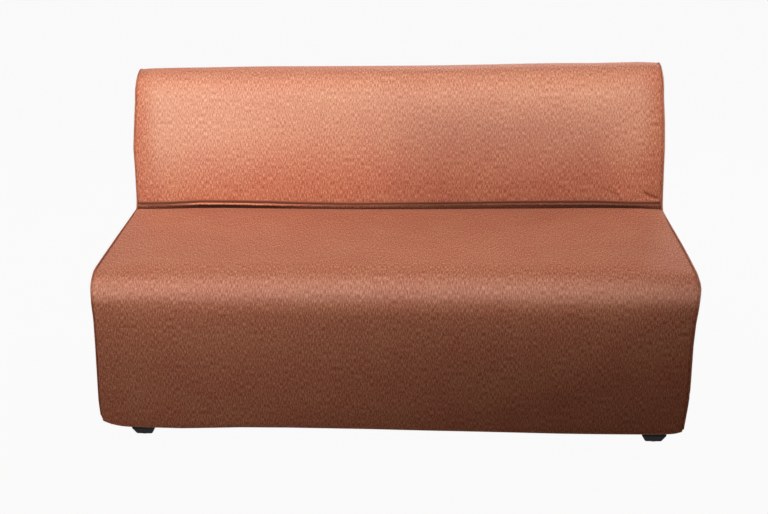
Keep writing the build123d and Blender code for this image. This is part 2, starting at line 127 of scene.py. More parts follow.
# %% [markdown]
# The sizes come from the boxes of the CAD covers, so the cloth sits where the frame says. The radii are the
# few roundings that a box can't tell.

# %% Lines of the seat, the back and the outside back
seat_low, seat_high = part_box("seat_cover")
back_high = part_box("back_cover")[1]
front_y, hem_z, seat_z, crease_y = seat_low.y, seat_low.z, seat_high.z, seat_high.y
half_width, rear_y, top_z = back_high.x, back_high.y, back_high.z
rear_seam_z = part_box("outside_back_cover")[1].z
hem_turn, hem_radius, front_radius, top_radius = 0.042, 0.014, 0.072, 0.062
crease_z, tuck_z, rake = seat_z - 0.010, 0.347, 0.031
tuck_y = crease_y + 0.008
back_top_y = crease_y + rake

seat_line = Line(
    [(front_y + hem_turn, hem_z), (front_y, hem_z), (front_y, seat_z + 0.001), (crease_y, crease_z),
     (crease_y, tuck_z)],
    [hem_radius, front_radius, 0.008])
back_line = Line(
    [(tuck_y, tuck_z), (tuck_y, crease_z + 0.016), (crease_y + 0.002, crease_z + 0.026),
     (back_top_y, top_z), (rear_y, top_z), (rear_y, rear_seam_z)],
    [0.004, 0.008, top_radius, top_radius])
rear_line = Line(
    [(rear_y, rear_seam_z), (rear_y, hem_z), (rear_y - hem_turn, hem_z)],
    [hem_radius])
print("cut lengths m:", [round(line.length, 3) for line in (seat_line, back_line, rear_line)])

# %% [markdown]
# ## Cutting and wrapping the cloth
# Each cover is cut flat as a grid, with its pattern in metres on it, and is then wrapped round its line.
# The weave is laid on the flat cloth, so it follows the real cloth round every edge. The middle of a cover
# stands a little prouder than its ends, and the last centimetre rolls down into the end seam.

# %% Read, write and cut
def read(piece):
    """The places of a piece's points, one row each."""
    places = np.empty(len(piece.data.vertices) * 3)
    piece.data.vertices.foreach_get("co", places)
    return places.reshape(-1, 3)


def write(piece, places):
    piece.data.vertices.foreach_set("co", np.ascontiguousarray(places, float).ravel())
    piece.data.update()


def lay_pattern(piece, flat):
    """Gives every point its place on the flat cloth, in metres, as the piece's UV map."""
    layer = piece.data.uv_layers.active or piece.data.uv_layers.new(name="cloth")
    corner_points = np.empty(len(piece.data.loops), int)
    piece.data.loops.foreach_get("vertex_index", corner_points)
    layer.data.foreach_set("uv", np.ascontiguousarray(flat[corner_points, :2], float).ravel())


def cut_strip(name, wide, line, step):
    """Adds a flat strip of cloth as long as a line, in small squares, and returns it."""
    bpy.ops.object.select_all(action="DESELECT")
    bpy.ops.mesh.primitive_grid_add(
        x_subdivisions=round(wide / step), y_subdivisions=round(line.length / step), size=1)
    piece = bpy.context.object
    piece.name = piece.data.name = name
    flat = read(piece) * (wide, line.length, 1) + (0, line.length / 2, 0)
    lay_pattern(piece, flat)
    write(piece, flat)
    return piece

# %% Swell, seam roll and folds of a cover
def middle(x):
    """1 in the middle of the unit's width, 0 at its ends."""
    return 1 - np.abs(x / half_width) ** 4.5


def seam_roll(x, depth=0.001, reach=0.011):
    """How far the cloth dips as it rolls into an end seam."""
    near = np.clip(1 - (half_width - np.abs(x)) / reach, 0, 1)
    return depth * (1 - np.sqrt(1 - near * near))


def lumps(x, s, size, seed):
    """A slow, uneven swell from minus one to one, as stuffing makes."""
    return np.array([noise.noise((a / size, b / size, seed)) for a, b in zip(x, s)])


def fold(x, s, start, end, width, height):
    """A soft ridge (or a valley, with a height below zero) between two points of the flat cloth."""
    run = np.subtract(end, start)
    share = ((x - start[0]) * run[0] + (s - start[1]) * run[1]) / (run @ run)
    off = ((x - start[0]) * run[1] - (s - start[1]) * run[0]) / np.linalg.norm(run)
    fade = np.clip(share, 0, 1) * np.clip(1 - share, 0, 1) * 4
    return height * np.exp(-(off / width) ** 2) * fade


def wrap(piece, line, lift):
    """Wraps a flat strip round a line, each point raised by its lift."""
    flat = read(piece)
    x, s = flat[:, 0], flat[:, 1]
    (y, z), (out_y, out_z) = line.at(s), line.outward(s)
    raised = lift(x, s)
    write(piece, np.column_stack([x, y + out_y * raised, z + out_z * raised]))
    return x, s

# %% [markdown]
# ## Letting the cloth settle
# A cover is pulled over its stuffing, sewn round its edges, and swells between them. Blender's Cloth does
# this: the sewn edges are pinned, a light pressure pushes the cloth out, and gravity is off because the
# stuffing carries it. The movement is capped, so a cover stays tight. Nothing moves inwards, because the
# stuffing is in the way, and the shape is then kept.

# %% Cloth simulation
sewn_width = 0.018
last_frame = 20


def facing(piece):
    """The outward direction at every point of a piece."""
    normals = np.empty(len(piece.data.vertices) * 3)
    piece.data.vertices.foreach_get("normal", normals)
    return normals.reshape(-1, 3)


def sewn_round(x, s, first, last):
    """Which points are held: those at the two ends of a cover, before the first place and after the last."""
    return (np.abs(x) > half_width - sewn_width) | (s < first) | (s > last)


def settle(piece, sewn, pressure, cap):
    """Runs the cloth to the last frame and keeps its shape, no point moved further than the cap."""
    scene = bpy.context.scene
    start, outward = read(piece), facing(piece)
    held = piece.vertex_groups.new(name="sewn")
    held.add([int(i) for i in np.flatnonzero(sewn)], 1.0, "REPLACE")
    cloth = piece.modifiers.new("settling", "CLOTH")
    cloth.settings.vertex_group_mass = "sewn"
    cloth.settings.quality = 6
    cloth.settings.mass = 0.3
    cloth.settings.tension_stiffness = cloth.settings.compression_stiffness = 40
    cloth.settings.shear_stiffness = 20
    cloth.settings.bending_stiffness = 2
    cloth.settings.use_pressure = True
    cloth.settings.uniform_pressure_force = pressure
    cloth.settings.effector_weights.gravity = 0
    cloth.point_cache.frame_start, cloth.point_cache.frame_end = 1, last_frame
    for number in range(1, last_frame + 1):
        scene.frame_set(number)
    swollen = piece.evaluated_get(bpy.context.evaluated_depsgraph_get())
    places = np.empty(len(start) * 3)
    swollen.data.vertices.foreach_get("co", places)
    moved = places.reshape(-1, 3) - start
    inward = np.minimum(0, (moved * outward).sum(axis=1, keepdims=True))
    moved = moved - inward * outward
    far = np.linalg.norm(moved, axis=1, keepdims=True)
    kept = moved * np.minimum(1, cap / np.maximum(far, 1e-9))
    piece.modifiers.remove(cloth)
    piece.vertex_groups.remove(held)
    write(piece, start + kept)
    scene.frame_set(1)
    print(piece.name, "settled by mm:", round(float(far.max()) * 1000, 1))


def select_only(piece):
    """Selects one piece and nothing else, for the operators that follow."""
    bpy.ops.object.select_all(action="DESELECT")
    bpy.context.view_layer.objects.active = piece
    piece.select_set(True)


def apply(piece, kind, **settings):
    """Adds a modifier to a piece with these settings and applies it."""
    select_only(piece)
    bpy.ops.object.modifier_add(type=kind)
    added = piece.modifiers[-1]
    for key, value in settings.items():
        setattr(added, key, value)
    bpy.ops.object.modifier_apply(modifier=added.name)

# %% [markdown]
# ## Seat cover
# One cloth goes under the hem, up the front, over the edge and back into the crease. The two front corners
# of the hem are pulled up and stapled round, the left one further, and there are a few small creases where
# the cloth is drawn to the end seams.

# %% Seat cover: cut, wrap and settle
cloth_step, cloth_thickness, cover_swell = 0.0115, 0.002, 0.0007
hem_bend, front_bend, crease_bend = (seat_line.bend(i) for i in range(3))
seat_crown = (
    [0, hem_bend[1], (hem_bend[1] + front_bend[0]) / 2, front_bend[1], crease_bend[0], seat_line.length],
    [0.003, 0.004, 0.005, 0.006, 0, 0])
crease_places = [-0.68, -0.605, -0.524, -0.428, -0.32, -0.228, -0.12, 0.118, 0.329, 0.535, 0.628, 0.68]
seat_rear = (crease_places,
             [0.0010, 0.0016, 0.0038, 0.0038, 0.0022, 0.0016, 0.0008, 0.0014, 0.0036, 0.0058, 0.0058, 0.0030])


def seat_lift(x, s):
    sunk = (1 - middle(x)) * np.interp(s, *seat_crown) + seam_roll(x)
    rear = np.interp(x, *seat_rear) * np.clip((s - crease_bend[0] + 0.12) / 0.11, 0, 1)
    return cover_swell * (1 + lumps(x, s, 0.22, 3.0)) * middle(x) - sunk + rear * (s < crease_bend[1])


seat_cover = cut_strip("seat_cloth", 2 * half_width, seat_line, cloth_step)
x, s = wrap(seat_cover, seat_line, seat_lift)
settle(seat_cover, sewn_round(x, s, hem_bend[1], crease_bend[0] - 0.02), pressure=0.4, cap=0.005)
print("seat cloth:", len(seat_cover.data.polygons), "faces")

# %% Seat cover: creases and hem
apply(seat_cover, "SUBSURF", levels=1, render_levels=1)


def pattern_places(piece):
    """Each point's place on the flat cloth, read back from the UV map."""
    corner_points = np.empty(len(piece.data.loops), int)
    piece.data.loops.foreach_get("vertex_index", corner_points)
    places = np.empty(len(piece.data.loops) * 2)
    piece.data.uv_layers.active.data.foreach_get("uv", places)
    flat = np.empty((len(piece.data.vertices), 2))
    flat[corner_points] = places.reshape(-1, 2)
    return flat[:, 0], flat[:, 1]


def push(piece, heights):
    """Moves every point along the surface's own normal by its height."""
    write(piece, read(piece) + facing(piece) * heights[:, None])


def puckers(x, s, seed, height=0.0005, reach=0.022):
    """Small gathers that run in from the end seams and fade out."""
    close = np.exp(-((half_width - np.abs(x)) / reach) ** 2)
    return height * close * np.array([noise.noise((np.sign(a) * 5, b / 0.011, seed)) for a, b in zip(x, s)])


def raise_hem(piece, side, reach, rise):
    """Lifts the front hem towards one end, as where the corner is pulled up and stapled."""
    places = read(piece)
    near = np.clip(1 - (half_width - side * places[:, 0]) / reach, 0, 1)
    low = np.clip(1 - (places[:, 2] - hem_z) / (3 * rise), 0, 1) ** 2
    front = np.clip(1 - (places[:, 1] - front_y) / hem_turn, 0, 1)
    places[:, 2] += rise * near ** 2.6 * low * front
    write(piece, places)


left_rise, right_rise = 0.019, 0.010
hem_wave = ([-0.60, -0.50, -0.36, -0.24, -0.05, 0.15, 0.40, 0.60],
            [-0.0030, -0.0030, 0.0030, 0.0045, 0.0040, 0.0020, -0.0010, -0.0020])
x, s = pattern_places(seat_cover)
left, right = -half_width, half_width
edge_s = front_bend[0] + 0.03
seat_creases = [
    ((left + 0.004, edge_s), (left + 0.085, edge_s + 0.012), 0.006, -0.0022),
    ((left + 0.004, edge_s - 0.02), (left + 0.060, edge_s - 0.026), 0.005, 0.0012),
    ((left + 0.005, 0.145), (left + 0.075, 0.118), 0.005, 0.0014),
    ((left + 0.005, 0.118), (left + 0.060, 0.100), 0.005, -0.0012),
    ((right - 0.005, 0.150), (right - 0.050, 0.135), 0.005, 0.0010),
    ((right - 0.004, edge_s), (right - 0.060, edge_s + 0.008), 0.006, -0.0012),
]
push(seat_cover, sum(fold(x, s, *crease) for crease in seat_creases) + puckers(x, s, 1.0))
raise_hem(seat_cover, -1, 0.070, left_rise)
raise_hem(seat_cover, 1, 0.045, right_rise)
places = read(seat_cover)
wave = np.interp(places[:, 0], *hem_wave) * np.clip(1 - (places[:, 2] - hem_z) / 0.06, 0, 1)
places[:, 2] += wave * (places[:, 1] < 0)
write(seat_cover, places)
apply(seat_cover, "SOLIDIFY", thickness=cloth_thickness, offset=-1)
print("seat cloth lowest and highest:", read(seat_cover).min(0).round(3), read(seat_cover).max(0).round(3))

# %% [markdown]
# ## Back cover
# It comes up out of the crease, leans back a little, rolls over the top and is sewn to the outside back. At
# the right end of the crease the cloth is drawn down, which leaves a few slanting creases.

# %% Back cover
back_knee, top_bend, rear_bend = (back_line.bend(i) for i in range(1, 4))
back_crown = ([0, back_knee[0], back_knee[1], top_bend[0], top_bend[1], rear_bend[1], back_line.length],
              [0, 0, 0.003, 0.008, 0.005, 0.005, 0.003])


def back_lift(x, s):
    sunk = (1 - middle(x)) * np.interp(s, *back_crown) + seam_roll(x)
    return cover_swell * (1 + lumps(x, s, 0.24, 7.0)) * middle(x) - sunk


back_drop = (crease_places,
             [0.012, 0.011, 0.006, 0.006, 0.008, 0.011, 0.013, 0.011, 0.007, 0.0055, 0.009, 0.009])
hang_top, hang_foot, hang_fade = 0.50, 0.36, 0.05


def hang(piece):
    """Lets the lower edge of the back hang into the crease, further at some places than at others."""
    places = read(piece)
    x, z = places[:, 0], places[:, 2]
    share = np.clip((hang_top - z) / hang_fade, 0, 1) * np.clip((z - hang_foot) / hang_fade, 0, 1)
    places[:, 2] -= np.interp(x, *back_drop) * share * (places[:, 1] < 0.5 * (crease_y + rear_y))
    write(piece, places)


back_cover = cut_strip("back_cloth", 2 * half_width, back_line, cloth_step)
x, s = wrap(back_cover, back_line, back_lift)
hang(back_cover)
settle(back_cover, sewn_round(x, s, back_knee[1], back_line.length - 0.012), pressure=0.4, cap=0.0035)
apply(back_cover, "SUBSURF", levels=1, render_levels=1)
x, s = pattern_places(back_cover)
foot_s = back_knee[1]
back_creases = [
    ((right - 0.044, foot_s + 0.028), (right - 0.002, foot_s + 0.005), 0.006, -0.0030),
    ((right - 0.034, foot_s + 0.007), (right + 0.004, foot_s + 0.003), 0.005, 0.0052),
    ((right - 0.200, foot_s + 0.044), (right - 0.090, foot_s + 0.014), 0.007, -0.0014),
    ((right - 0.024, foot_s + 0.050), (right + 0.006, foot_s + 0.016), 0.005, 0.0055),
    ((right - 0.120, foot_s + 0.022), (right - 0.030, foot_s + 0.004), 0.006, 0.0012),
    ((left + 0.012, foot_s + 0.004), (left + 0.080, foot_s + 0.045), 0.006, -0.0012),
]
push(back_cover, sum(fold(x, s, *crease) for crease in back_creases) + puckers(x, s, 2.0))
apply(back_cover, "SOLIDIFY", thickness=cloth_thickness, offset=-1)
print("back cloth lowest and highest:", read(back_cover).min(0).round(3), read(back_cover).max(0).round(3))

# %% [markdown]
# ## Outside back
# A flat panel is sewn on below the roll and pulled under the hem. It is seen only from behind.

# %% Outside back cover
rear_step, rear_swell, rear_crown, seam_dip, dip_reach = 0.014, 0.0008, 0.005, 0.0022, 0.05


def rear_lift(x, s):
    share = np.clip(s / dip_reach, 0, 1)
    swell = rear_swell * lumps(x, s, 0.25, 11.0) - (1 - middle(x)) * rear_crown
    return swell - seam_roll(x) - seam_dip * (1 - share) ** 2


outside_back = cut_strip("outside_back_cloth", 2 * half_width, rear_line, rear_step)
x, s = wrap(outside_back, rear_line, rear_lift)
settle(outside_back, sewn_round(x, s, 0.015, rear_line.bend(0)[0]), pressure=0.3, cap=0.004)
apply(outside_back, "SUBSURF", levels=1, render_levels=1)
x, s = pattern_places(outside_back)
push(outside_back, puckers(x, s, 4.0))
apply(outside_back, "SOLIDIFY", thickness=cloth_thickness, offset=-1)
print("outside back:", len(outside_back.data.polygons), "faces")

# %% [markdown]
# ## End covers
# Each end is one L-shaped panel over a thin pad, sewn to the seat and back covers all round, so it swells
# like a flat cushion. An L isn't a grid, so its cloth is cut into small triangles inside its outline. How
# far a point is from the outline says how far it swells.

# %% Cut a panel of any outline
def far_from(points, outline):
    """How far each point is from a closed outline."""
    start, run = outline, np.roll(outline, -1, axis=0) - outline
    share = np.einsum("pkj,kj->pk", points[:, None] - start, run) / np.einsum("kj,kj->k", run, run)
    nearest = start + np.clip(share, 0, 1)[..., None] * run
    return np.linalg.norm(points[:, None] - nearest, axis=2).min(axis=1)


def inside(points, outline):
    """Which points lie inside a closed outline."""
    found = np.zeros(len(points), bool)
    for (y0, z0), (y1, z1) in zip(outline, np.roll(outline, -1, axis=0)):
        if z0 == z1:
            continue
        crosses = ((z0 > points[:, 1]) != (z1 > points[:, 1]))
        found ^= crosses & (points[:, 0] < (y1 - y0) * (points[:, 1] - z0) / (z1 - z0) + y0)
    return found


def even(outline, step):
    """The same closed outline, with its points about a step apart."""
    closed = np.vstack([outline, outline[:1]])
    run = np.concatenate([[0], np.cumsum(np.linalg.norm(np.diff(closed, axis=0), axis=1))])
    at = np.linspace(0, run[-1], round(run[-1] / step), endpoint=False)
    return np.column_stack([np.interp(at, run, closed[:, i]) for i in range(2)])


triangle_height, rim_sides = 0.866, 16


def cut_panel(name, outline, step, holes=()):
    """Adds a flat panel in small triangles, with round holes, and returns it with its flat places."""
    outline = even(outline, step)
    low, high = outline.min(0), outline.max(0)
    rows = np.arange(low[1], high[1], step * triangle_height)
    grid = np.array([(y + step / 2 * (i % 2), z)
                     for i, z in enumerate(rows) for y in np.arange(low[0], high[0], step)])
    grid = grid[inside(grid, outline)]
    grid = grid[far_from(grid, outline) > step * 0.6]
    turn = np.linspace(0, 2 * pi, rim_sides, False)
    rims = [np.array(hole[:2]) + hole[2] * np.column_stack([np.cos(turn), np.sin(turn)]) for hole in holes]
    for hole in holes:
        grid = grid[np.linalg.norm(grid - hole[:2], axis=1) > hole[2] + step * 0.4]
    points = np.vstack([outline, grid] + rims)
    count = len(outline)
    edges = [(i, (i + 1) % count) for i in range(count)]
    first = count + len(grid)
    for rim_start in range(first, first + rim_sides * len(rims), rim_sides):
        edges += [(rim_start + i, rim_start + (i + 1) % rim_sides) for i in range(rim_sides)]
    found = geometry.delaunay_2d_cdt([Vector(p) for p in points], edges, [list(range(count))], 1, 1e-6)
    flat = np.array([list(p) for p in found[0]])
    faces = [list(face) for face in found[2]]
    for hole in holes:
        faces = [f for f in faces if np.linalg.norm(flat[f].mean(0) - hole[:2]) > hole[2] * 0.9]
    mesh = bpy.data.meshes.new(name)
    mesh.from_pydata([(y, z, 0) for y, z in flat], [], faces)
    piece = bpy.data.objects.new(name, mesh)
    bpy.context.collection.objects.link(piece)
    lay_pattern(piece, flat)
    return piece, flat

# %% End covers: outline, swell and creases
end_recess = 0.005
seam_x = half_width + 0.0006
end_step, end_inset, end_swell, swell_reach, end_sewn = 0.0105, 0.0020, 0.0105, 0.013, 0.016


def end_shape(crease_radius):
    """The outline of an end, with its inner corner rounded by so much."""
    line = Line(
        [(front_y + end_recess + hem_turn, hem_z), (front_y + end_recess, hem_z),
         (front_y + end_recess, seat_z - end_recess), (crease_y + 0.004, crease_z),
         (back_top_y + 0.0075, top_z - end_recess), (rear_y - end_recess, top_z - end_recess),
         (rear_y - end_recess, hem_z), (front_y + end_recess + hem_turn, hem_z)],
        [hem_radius, front_radius, crease_radius, top_radius, top_radius, hem_radius])
    return line.points[:-1]


end_outline = end_shape(0.025)


def drawn_in(outline, by):
    """The outline moved inwards, evenly."""
    ahead, behind = np.roll(outline, -1, axis=0), np.roll(outline, 1, axis=0)
    run = (ahead - behind) / np.linalg.norm(ahead - behind, axis=1, keepdims=True)
    return outline + by * np.column_stack([run[:, 1], -run[:, 0]])


def turn_over(piece):
    """Turns every face of a piece round, for the left end."""
    for polygon in piece.data.polygons:
        polygon.flip()


def end_cover(name, side, corner_rise):
    """One end cover, with its front hem corner lifted by so much."""
    outline = drawn_in(even(end_outline, 0.004), end_inset)
    piece, flat = cut_panel(name, outline, end_step)
    away = far_from(flat, even(outline, end_step))
    swell = end_swell * (1 - np.exp(-away / swell_reach))
    swell += 0.0010 * lumps(flat[:, 0], flat[:, 1], 0.2, 20.0 + side)
    if side < 0:
        turn_over(piece)
    write(piece, np.column_stack([side * (seam_x + swell * np.clip(away / 0.01, 0, 1)), flat]))
    settle(piece, away < end_sewn, pressure=0.3, cap=0.003)
    apply(piece, "SUBSURF", levels=1, render_levels=1)
    y, z = pattern_places(piece)
    edge = front_y + end_recess
    folds = [((edge + 0.004, 0.13), (edge + 0.09, 0.16), 0.006, -0.0016),
             ((edge + 0.004, 0.36), (edge + 0.07, 0.34), 0.006, -0.0014),
             ((crease_y - 0.015, crease_z - 0.006), (crease_y - 0.10, crease_z - 0.09), 0.007, -0.0018),
             ((crease_y + 0.010, crease_z - 0.012), (crease_y + 0.06, crease_z - 0.12), 0.008, 0.0014)]
    rim = np.exp(-(far_from(np.column_stack([y, z]), even(outline, end_step)) / 0.020) ** 2)
    gathers = 0.0005 * rim * lumps(y, z, 0.011, 5.0 + side)
    push(piece, sum(fold(y, z, *one) for one in folds) + gathers)
    raise_hem_end(piece, corner_rise)
    apply(piece, "SOLIDIFY", thickness=cloth_thickness, offset=-1)
    return piece


def raise_hem_end(piece, rise):
    """Lifts the front corner of an end cover with the hem that it is sewn to."""
    places = read(piece)
    near = np.clip(1 - (places[:, 1] - front_y) / (1.5 * hem_turn), 0, 1)
    low = np.clip(1 - (places[:, 2] - hem_z) / (3 * rise), 0, 1) ** 2
    places[:, 2] += rise * near * low
    write(piece, places)


left_end = end_cover("left_end_cloth", -1, left_rise)
right_end = end_cover("right_end_cloth", 1, right_rise)
print("end covers:", len(left_end.data.polygons), len(right_end.data.polygons), "faces")

# %% [markdown]
# Under each end cover lies its pad, a sheet of foam with the same outline a little further in. The CAD pad
# is flat at its lower front corner, where the cloth is pulled up, so the pad is cut again here to follow
# the cloth.

# %% End pads
pad_step, pad_inset, pad_depth, pad_swell, pad_thickness = 0.014, 0.0070, 0.0035, 0.0085, 0.008


def end_pad(name, side, corner_rise):
    """The foam under an end cover, just inside it."""
    outline = drawn_in(even(end_shape(0.008), 0.004), pad_inset)
    piece, flat = cut_panel(name, outline, pad_step)
    swell = pad_swell * (1 - np.exp(-far_from(flat, even(outline, pad_step)) / swell_reach))
    if side < 0:
        turn_over(piece)
    write(piece, np.column_stack([side * (seam_x - pad_depth + swell), flat]))
    raise_hem_end(piece, corner_rise)
    apply(piece, "SOLIDIFY", thickness=pad_thickness, offset=-1)
    return piece


left_pad, right_pad = end_pad("left_end_pad", -1, left_rise), end_pad("right_end_pad", 1, right_rise)
print("end pads:", len(left_pad.data.polygons), len(right_pad.data.polygons), "faces")

# %% [markdown]
# ## Welts
# A thin cord in bias-cut cloth is sewn into each end seam, from the front hem over the seat and back to the
# rear hem. A curve with a round bevel follows the seam, and becomes a mesh.

# %% Welts
welt_radius, welt_step, welt_inset, welt_out, rear_hem_z = 0.0021, 0.005, 0.0009, 0.0006, 0.051


def welt(name, side, front_hem_z):
    """One welt, from the front hem to the rear hem."""
    line = drawn_in(even(end_outline, welt_step), welt_inset)
    front = np.argmin(np.hypot(line[:, 0] - front_y, line[:, 1] - front_hem_z))
    line = np.roll(line, -front, axis=0)
    stop = np.argmin(np.hypot(line[:, 0] - rear_y, line[:, 1] - rear_hem_z))
    line = line[:stop + 1]
    curve = bpy.data.curves.new(name, "CURVE")
    curve.dimensions, curve.use_fill_caps = "3D", True
    curve.bevel_depth, curve.bevel_resolution = welt_radius, 2
    spline = curve.splines.new("POLY")
    spline.points.add(len(line) - 1)
    for point, (y, z) in zip(spline.points, line):
        point.co = (side * (seam_x + welt_out), y, z, 1)
    piece = bpy.data.objects.new(name, curve)
    bpy.context.collection.objects.link(piece)
    select_only(piece)
    bpy.ops.object.convert(target="MESH")
    bpy.ops.object.shade_smooth()
    return bpy.context.object


left_welt, right_welt = welt("left_welt_cord", -1, 0.072), welt("right_welt_cord", 1, 0.058)
print("welts:", len(left_welt.data.polygons), len(right_welt.data.polygons), "faces")

# %% [markdown]
# ## Ends that swell and draw in
# The ends of the unit aren't flat. The stuffing pushes them out at the lower half of the rounded front edge
# and along the back, and the top corners of the back and the hem are drawn in. All the cloth that meets in
# an end seam moves together, and the movement fades out a hand's width from the end. The roll on top is
# uneven too.

# %% Spread the ends
front_heights = [0.037, 0.06, 0.08, 0.11, 0.14, 0.26, 0.32, 0.37, 0.40, 0.42, 0.432]
left_front = (front_heights,
              [0.0010, 0.0035, 0.0055, 0.0070, 0.0065, 0.0040, 0.0035, 0.0060, 0.0085, 0.0080, 0.0065])
right_front = (front_heights,
               [-0.0075, -0.0060, -0.0040, -0.0010, 0.0010, 0.0015, 0.0045, 0.0100, 0.0145, 0.0115, 0.0085])
back_heights = [0.037, 0.30, 0.42, 0.51, 0.575, 0.64, 0.70, 0.76, 0.78]
left_back = (back_heights,
             [0.0010, 0.0030, 0.0055, 0.0060, 0.0080, 0.0030, -0.0024, -0.0055, -0.0075])
right_back = (back_heights,
              [0.0010, 0.0030, 0.0052, 0.0048, 0.0048, 0.0020, -0.0030, -0.0050, -0.0070])
top_wave = ([-0.69, -0.64, -0.50, -0.38, -0.20, 0.00, 0.12, 0.25, 0.40, 0.52, 0.63, 0.69],
            [0.0008, 0.0008, -0.0013, -0.0018, -0.0030, -0.0036,
             -0.0032, -0.0010, 0.0024, 0.0042, 0.0092, 0.0092])
fade_x, front_part_y, part_depth, wave_z, wave_height = 0.52, -0.20, 0.40, 0.62, 0.13


def spread_ends(piece):
    """Moves the ends of a piece out or in, by their height in the front part and in the back part."""
    places = read(piece)
    x, y, z = places.T
    behind = np.clip((y - front_part_y) / part_depth, 0, 1)
    behind = behind * behind * (3 - 2 * behind)
    left = (1 - behind) * np.interp(z, *left_front) + behind * np.interp(z, *left_back)
    right = (1 - behind) * np.interp(z, *right_front) + behind * np.interp(z, *right_back)
    near = np.clip((np.abs(x) - fade_x) / (half_width - fade_x), 0, 1)
    places[:, 0] += np.where(x < 0, -left, right) * near * near
    places[:, 2] += np.interp(x, *top_wave) * np.clip((z - wave_z) / wave_height, 0, 1)
    write(piece, places)


for piece in (seat_cover, back_cover, outside_back, left_end, right_end,
              left_pad, right_pad, left_welt, right_welt):
    spread_ends(piece)
print("ends spread, widest mm:", round(float(np.abs(read(right_end)[:, 0]).max()) * 1000, 1))

# %% [markdown]
# ## Crease band
# A narrow folded strip of the same cloth closes the gap between seat and back. Its lip stands forward and
# its underside slopes back into the crease, which leaves a gap above the seat, darkened with painted shade.
# It lies uneven: left of the middle it stands up and its ridge is painted pale as light, and at the middle
# and the left end it lies lower.

# %% Crease band
band_low, band_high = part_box("crease_band")
band_half, band_step, band_thickness = half_width - 0.001, 0.004, 0.0010
roll_front, roll_top = band_low.y, band_high.z - 0.0005
roll_rear, roll_foot = roll_front + 0.0095, roll_top - 0.0145
roll_under, band_foot = roll_front + 0.0080, tuck_z + 0.05
band_line = Line(
    [(roll_under, band_foot), (roll_under, roll_foot), (roll_front + 0.0005, roll_top - 0.0040),
     (roll_front + 0.0010, roll_top), (roll_rear, roll_top - 0.0005), (roll_rear, band_foot)],
    [0.0010, 0.0016, 0.0016, 0.0030])
ridge_rise = (crease_places,
              [-0.0065, -0.0040, -0.0005, -0.0006, -0.0031, -0.0044,
               -0.0056, -0.0033, 0.0004, 0.0008, -0.0016, -0.0020])
roll_fade, end_reach, end_draw, band_rough = 0.004, 0.03, 0.003, 0.0003


def band_shape(piece):
    """Lifts or lowers the roll along its length, and draws its two ends back."""
    places = read(piece)
    x = places[:, 0]
    roll = np.clip((places[:, 2] - roll_foot + roll_fade) / roll_fade, 0, 1)
    end = np.clip(1 - (band_half - np.abs(x)) / end_reach, 0, 1) ** 2
    rough = band_rough * lumps(x, places[:, 2], 0.035, 9.0)
    places[:, 2] += roll * (np.interp(x, *ridge_rise) + rough)
    places[:, 1] += roll * (end_draw * end + rough)
    write(piece, places)


crease_band = cut_strip("crease_band_cloth", 2 * band_half, band_line, band_step)
wrap(crease_band, band_line, lambda x, s: 0 * x)
band_shape(crease_band)
apply(crease_band, "SOLIDIFY", thickness=band_thickness, offset=-1)
spread_ends(crease_band)
print("crease band:", len(crease_band.data.polygons), "faces")

# %% [markdown]
# ## Wadding
# The wadding between foam and cloth is soft, so it gives way where the cloth is drawn tight over it. The CAD
# wadding has its loose thickness, so a copy of it is pressed in by a few millimetres and stands for it. At
# the lower front edge the wadding and the foam are trimmed, because the corners of the hem are pulled up
# there.

# %% Pressed wadding
trim_z, trim_y = 0.09, -0.30


def pressed(name, node, by, trimmed=0.0):
    """A copy of a CAD piece, pressed in all round, with its lower front edge trimmed by so much."""
    piece = bpy.data.objects.new(name, nodes[node].data.copy())
    piece.data.name = name
    piece.data.transform(nodes[node].matrix_world)
    bpy.context.collection.objects.link(piece)
    apply(piece, "WELD", merge_threshold=1e-5)
    push(piece, np.full(len(piece.data.vertices), -by))
    places = read(piece)
    places[:, 2] += trimmed * (places[:, 2] < trim_z) * (places[:, 1] < trim_y)
    write(piece, places)
    return piece


seat_filling = pressed("seat_pressed_wadding", "seat_wadding", 0.0025, 0.026)
back_filling = pressed("back_pressed_wadding", "back_wadding", 0.0045)
front_filling = pressed("front_pressed_foam", "front_foam", 0.0005, 0.028)

# %% [markdown]
# ## Dust cover
# Black non-woven cloth is stapled under the frame, over the turned-in hem. It sags a little between its
# staples and has holes for the foot studs and the link bolts.

# %% Dust cover
dust_low, dust_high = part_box("dust_cover")
dust_step, dust_sag, dust_thickness, hole_radius = 0.02, 0.0015, 0.0005, 0.0062
corner_x, corner_y = dust_high.x - 0.040, dust_low.y + 0.035
dust_outline = np.array([(-corner_x, dust_low.y), (corner_x, dust_low.y), (dust_high.x, corner_y),
                         (dust_high.x, dust_high.y), (dust_low.x, dust_high.y), (dust_low.x, corner_y)])
studs = [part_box("stud_" + place) for place in ("front_left", "front_right", "rear_left", "rear_right")]
bolt_places = [mount["pos_m"][:2] for mount in frame["record"]["mounts"]
               if mount["name"].startswith("link_insert")]
bolt_places += [(-place[0], place[1]) for place in bolt_places]
holes = [((low.x + high.x) / 2, (low.y + high.y) / 2, hole_radius) for low, high in studs]
holes += [(px, py, hole_radius) for px, py in bolt_places]
dust_cover, flat = cut_panel("dust_cloth_sheet", dust_outline, dust_step, holes)
away = far_from(flat, even(dust_outline, dust_step))
sag = dust_sag * (1 - np.exp(-away / 0.05)) * (0.7 + 0.3 * lumps(flat[:, 0], flat[:, 1], 0.2, 30.0))
for hole in holes:
    sag *= np.clip((np.linalg.norm(flat - hole[:2], axis=1) - 0.03) / 0.05, 0, 1)
under_hem = np.minimum(np.interp(flat[:, 0], *hem_wave), 0) - 0.0004
under_hem *= np.clip(1 - (flat[:, 1] - dust_low.y - 0.02) / 0.10, 0, 1)
write(dust_cover, np.column_stack([flat, dust_low.z + 0.0006 - sag + under_hem]))
